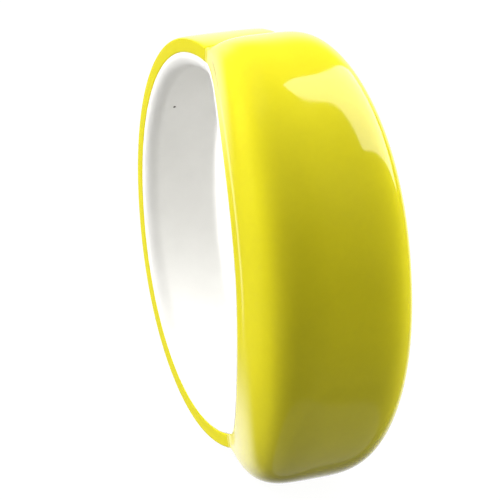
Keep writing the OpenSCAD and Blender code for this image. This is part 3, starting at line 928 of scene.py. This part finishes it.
class BANGLE_OT_hinge(bpy.types.Operator):
    """Leaves and pin of the bottom hinge"""
    bl_idname = "bangle.hinge"
    bl_label = "Hinge"

    def execute(self, context):
        form, fit = form_and_fittings(context)
        steel = finish_named("tumbled_stainless_steel")
        axis = fit.hinge @ ALONG_X
        inner, outer = fit.knuckle_half + 0.1, fit.leaf_half
        knuckles = [moved(turned(tube(fit.knuckle_r, fit.pin_r + 0.01, low, high, 0.08), 64), axis)
                    for low, high in ((inner, outer), (-outer, -inner))]
        webs = [moved(block((low, 0.75, fit.leaf_low), (high, fit.barrel_room + 0.1, fit.leaf_high)),
                      fit.hinge)
                for low, high in ((inner, outer), (-outer, -inner))]
        mesh = new_mesh("case_leaf", joined(*knuckles, *webs, fit.leaf(1, 0)))
        piece("hinge_case_leaf_steel", mesh, "case", "hinge_case_leaf", steel, 28)

        knuckle = moved(turned(tube(fit.knuckle_r, fit.pin_r + 0.05, -fit.knuckle_half, fit.knuckle_half,
                                    0.08), 64), axis)
        web = moved(block((-fit.knuckle_half, -fit.barrel_room - 0.1, fit.leaf_low),
                          (fit.knuckle_half, -0.75, fit.leaf_high)), fit.hinge)
        mesh = new_mesh("band_leaf", joined(knuckle, web, fit.leaf(-1, 0)))
        piece("hinge_band_leaf_steel", mesh, "band", "hinge_band_leaf", steel, 28)

        pin = moved(turned(rounded_disc(fit.pin_r, -fit.pin_half, fit.pin_half, 0.12), 48), axis)
        piece("hinge_pin_steel", new_mesh("pin", pin), "case", "hinge_pin", steel, 28)
        return {"FINISHED"}


class BANGLE_OT_clasp(bpy.types.Operator):
    """Tongue and magnets of the top clasp"""
    bl_idname = "bangle.clasp"
    bl_label = "Clasp"

    def execute(self, context):
        form, fit = form_and_fittings(context)
        bar = fit.clasp_bar(fit.tongue_half, fit.tongue_t, fit.tongue_out, fit.tongue_in, 0.22)
        piece("clasp_tongue_steel", new_mesh("tongue", bar), "band", "clasp_tongue",
              finish_named("tumbled_stainless_steel"), 40)
        disc = rounded_disc(fit.magnet_r, fit.magnet_gap, fit.magnet_len + form.split_gap, 0.1)
        for body, way in (("case", -1), ("band", 1)):
            mesh = new_mesh("magnets", joined(*fit.magnet_holes(way, disc)))
            piece(body + "_magnet_pair", mesh, body, body + "_magnets",
                  finish_named("bright_nickel_plate"))
        return {"FINISHED"}


CARRIED_OVER = {
    "circuit_board": "green_solder_mask",
    "board_screws": "tumbled_stainless_steel",
    "display_housing": "black_moulded_pbt",
    "display_segments": "red_diffused_polycarbonate",
    "controller_chip": "black_moulded_pbt",
    "quartz_crystal": "bright_nickel_plate",
    "chip_components": "gold_plated_contact",
    "side_switch": "black_moulded_pbt",
    "switch_plunger": "white_moulded_acetal",
    "negative_contact": "gold_plated_contact",
    "positive_contact": "gold_plated_contact",
    "coin_cell": "bright_nickel_plate",
    "door_seal": "black_nitrile_rubber",
    "button_seal": "black_nitrile_rubber",
}


class BANGLE_OT_works(bpy.types.Operator):
    """Finishes of the parts inside the case, whose shapes come from the frame"""
    bl_idname = "bangle.works"
    bl_label = "Inner works"

    def execute(self, context):
        for name, kind in CARRIED_OVER.items():
            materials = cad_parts[name].data.materials
            materials.clear()
            materials.append(finish_named(kind))
        return {"FINISHED"}


# ---- stage ----------------------------------------------------------------------------------------

def heading(azimuth, elevation):
    """Unit vector at an azimuth from the front, positive to the right, and an elevation."""
    a, e = np.radians(azimuth), np.radians(elevation)
    return Vector((np.sin(a) * np.cos(e), -np.cos(a) * np.cos(e), np.sin(e)))


def panel_light(name, centre, size, watts, glossy, turn=0.0, tone=(1, 1, 1)):
    """A rectangular light that faces the origin, turned about its own axis."""
    data = bpy.data.lights.new(name, "AREA")
    data.shape = "RECTANGLE"
    data.size, data.size_y = size
    data.energy = watts
    data.color = tone
    lamp = bpy.data.objects.new(name, data)
    bpy.context.scene.collection.objects.link(lamp)
    facing = centre.to_track_quat("Z", "Y").to_matrix().to_4x4()
    lamp.matrix_world = Matrix.Translation(centre) @ facing @ Matrix.Rotation(turn, 4, "Z")
    lamp.visible_camera = False
    lamp.visible_glossy = glossy
    return lamp


# Fill lights, as (name, azimuth, elevation, watts); none shows in the gloss
FILL_EDGE = 0.9
FILLS = [
    ("fill_top_left", -120, 60, 12.0),
    ("fill_left_rear", -145, 5, 16.0),
    ("fill_left", -90, 0, 4.0),
    ("fill_front_left", -45, 10, 1.2),
    ("fill_front_right", 45, 10, 3.0),
    ("fill_right", 100, -14, 16.0),
    ("fill_below", 40, -65, 2.5),
]
REAR_SWEEP = 158.4       # azimuth of the bright sweep behind the bangle


class BANGLE_OT_stage(bpy.types.Operator):
    """Camera, soft lights, surroundings and floor"""
    bl_idname = "bangle.stage"
    bl_label = "Stage"
    eye_right, eye_down = 0.001114, 0.001989

    def execute(self, context):
        self.camera(context.scene)
        self.lights()
        self.surroundings(context.scene)
        self.floor()
        context.scene.view_settings.view_transform = "Standard"
        return {"FINISHED"}

    def camera(self, scene):
        """A long lens that looks level with the case's upper half, rolled a little."""
        stage = scene.bangle_stage
        back = heading(np.degrees(stage.azimuth), np.degrees(stage.elevation))
        right = (-back).cross(Vector((0, 0, 1))).normalized()
        up = right.cross(-back)
        eye = back * stage.distance + right * self.eye_right - up * self.eye_down
        side = np.cos(stage.roll) * right + np.sin(stage.roll) * up
        over = np.cos(stage.roll) * up - np.sin(stage.roll) * right
        data = bpy.data.cameras.new("camera")
        data.lens = stage.lens
        data.sensor_width = 36
        data.clip_start = 0.01
        camera = bpy.data.objects.new("camera", data)
        scene.collection.objects.link(camera)
        turn = Matrix((side, over, back)).transposed().to_4x4()
        camera.matrix_world = Matrix.Translation(eye) @ turn
        scene.camera = camera

    def lights(self):
        """One soft box whose reflection shows on the case's upper right, and fills around it."""
        middle = heading(72, 42)
        across = Vector((0, 0, 1)).cross(middle).normalized()
        rise = middle.cross(across)
        centre = middle + across * 0.31 - rise * 0.08
        box = panel_light("soft_box", centre, (1.3, 0.86), 15.0, True)
        along = across * 0.8 - rise * 0.6
        facing = Matrix((along, middle.cross(along), middle)).transposed().to_4x4()
        box.matrix_world = Matrix.Translation(centre) @ facing
        for name, azimuth, elevation, watts in FILLS:
            panel_light(name, heading(azimuth, elevation), (FILL_EDGE, FILL_EDGE), watts, False)

    def surroundings(self, scene):
        """Studio as seen in the gloss: dark in front, a bright sweep behind, paler above and below,
        and a pale table; the camera sees plain white, and dull surfaces get a weak even light."""
        world = bpy.data.worlds.new("studio")
        world.use_nodes = True
        scene.world = world
        tree = world.node_tree
        tree.nodes.clear()
        way = add(tree, "ShaderNodeTexCoord").outputs["Generated"]
        split = add(tree, "ShaderNodeSeparateXYZ", {0: way})
        flat = add(tree, "ShaderNodeCombineXYZ", {0: split.outputs[0], 1: split.outputs[1]})
        unit = add(tree, "ShaderNodeVectorMath", {0: flat.outputs[0]}, operation="NORMALIZE")
        behind = add(tree, "ShaderNodeVectorMath",
                     {0: unit.outputs[0], 1: heading(REAR_SWEEP, 0)}, operation="DOT_PRODUCT")
        sweep = add(tree, "ShaderNodeMapRange",
                    {"Value": behind.outputs["Value"], 1: 0.72, 2: 0.9, 3: 0.0, 4: 1.25},
                    interpolation_type="SMOOTHSTEP")
        level = add(tree, "ShaderNodeMath", {0: split.outputs[2], 1: 0.05}, operation="ADD")
        height = add(tree, "ShaderNodeMath", {0: level.outputs[0]}, operation="ABSOLUTE")
        low = add(tree, "ShaderNodeMapRange", {"Value": height.outputs[0], 1: 0.35, 2: 0.75, 3: 1.0, 4: 0.0},
                  interpolation_type="SMOOTHSTEP")
        sweep = add(tree, "ShaderNodeMath", {0: sweep.outputs[0], 1: low.outputs[0]}, operation="MULTIPLY")
        sides = add(tree, "ShaderNodeMapRange",
                    {"Value": height.outputs[0], 1: 0.15, 2: 0.95, 3: 0.10, 4: 0.28})
        walls = add(tree, "ShaderNodeMath", {0: sweep.outputs[0], 1: sides.outputs[0]}, operation="ADD")
        table = add(tree, "ShaderNodeMapRange",
                    {"Value": split.outputs[2], 1: -0.81, 2: -0.84, 3: 0.0, 4: 0.3},
                    interpolation_type="SMOOTHSTEP")
        total = add(tree, "ShaderNodeMath", {0: walls.outputs[0], 1: table.outputs[0]}, operation="ADD")
        ray = add(tree, "ShaderNodeLightPath")
        gloss = add(tree, "ShaderNodeMix", {"Factor": ray.outputs["Is Glossy Ray"], 2: 0.12,
                                            3: total.outputs[0]})
        seen = add(tree, "ShaderNodeMix", {"Factor": ray.outputs["Is Camera Ray"], 2: gloss.outputs[0],
                                           3: 1.0})
        light = add(tree, "ShaderNodeBackground", {"Strength": seen.outputs[0]})
        add(tree, "ShaderNodeOutputWorld", {"Surface": light.outputs[0]})

    def floor(self):
        """Pale floor under the lowest point, lit from itself so that only a faint shadow shows."""
        low = cad_box[0][2]
        size = 4.0
        corners = [(-size, -size, low), (size, -size, low), (size, size, low), (-size, size, low)]
        mesh = bpy.data.meshes.new("floor")
        mesh.from_pydata(corners, [], [(0, 1, 2, 3)])
        material, tree, shader, place = new_finish("matt_white_paper", Roughness=0.9, Specular_IOR_Level=0.1)
        fibre = add(tree, "ShaderNodeTexNoise", {"Vector": place, "Scale": per_metre(4), "Detail": 3.0})
        ramp = add(tree, "ShaderNodeValToRGB", {"Fac": fibre.outputs["Fac"]})
        ramp.color_ramp.elements[0].color = (0.04, 0.04, 0.04, 1)
        ramp.color_ramp.elements[1].color = (0.05, 0.05, 0.05, 1)
        tree.links.new(ramp.outputs["Color"], shader.inputs["Base Color"])
        shader.inputs["Emission Color"].default_value = (1, 1, 1, 1)
        shader.inputs["Emission Strength"].default_value = 0.97
        mesh.materials.append(material)
        floor = bpy.data.objects.new("floor", mesh)
        bpy.context.scene.collection.objects.link(floor)
        floor.visible_diffuse = False
        floor.visible_glossy = False


class BANGLE_PT_panel(bpy.types.Panel):
    """Sizes, colours and build steps of the bangle watch"""
    bl_idname = "BANGLE_PT_panel"
    bl_label = "Bangle Watch"
    bl_space_type = "VIEW_3D"
    bl_region_type = "UI"
    bl_category = "Bangle"

    def draw(self, context):
        for name in GROUPS:
            box = self.layout.box()
            group = getattr(context.scene, name)
            for prop in group.bl_rna.properties:
                if prop.identifier not in ("rna_type", "name"):
                    box.prop(group, prop.identifier)
        for step in STEPS:
            self.layout.operator(step.bl_idname)


GROUPS = {
    "bangle_sizes": BangleSizes,
    "bangle_finish": BangleFinish,
    "bangle_button": BangleButton,
    "bangle_gate": BangleGate,
    "bangle_stage": BangleStage,
}
STEPS = (BANGLE_OT_stage, BANGLE_OT_case_shell, BANGLE_OT_band_shell, BANGLE_OT_liners, BANGLE_OT_button,
         BANGLE_OT_battery_door, BANGLE_OT_liner_screws, BANGLE_OT_hinge, BANGLE_OT_clasp, BANGLE_OT_works)


def register():
    for cls in (*GROUPS.values(), *STEPS, BANGLE_PT_panel):
        bpy.utils.register_class(cls)
    for name, group in GROUPS.items():
        setattr(bpy.types.Scene, name, bpy.props.PointerProperty(type=group))


def unregister():
    for name in GROUPS:
        delattr(bpy.types.Scene, name)
    for cls in (BANGLE_PT_panel, *reversed(STEPS), *GROUPS.values()):
        bpy.utils.unregister_class(cls)


def main():
    register()
    for step in STEPS:
        group, name = step.bl_idname.split(".")
        getattr(getattr(bpy.ops, group), name)()


if __name__ == "__main__":
    main()
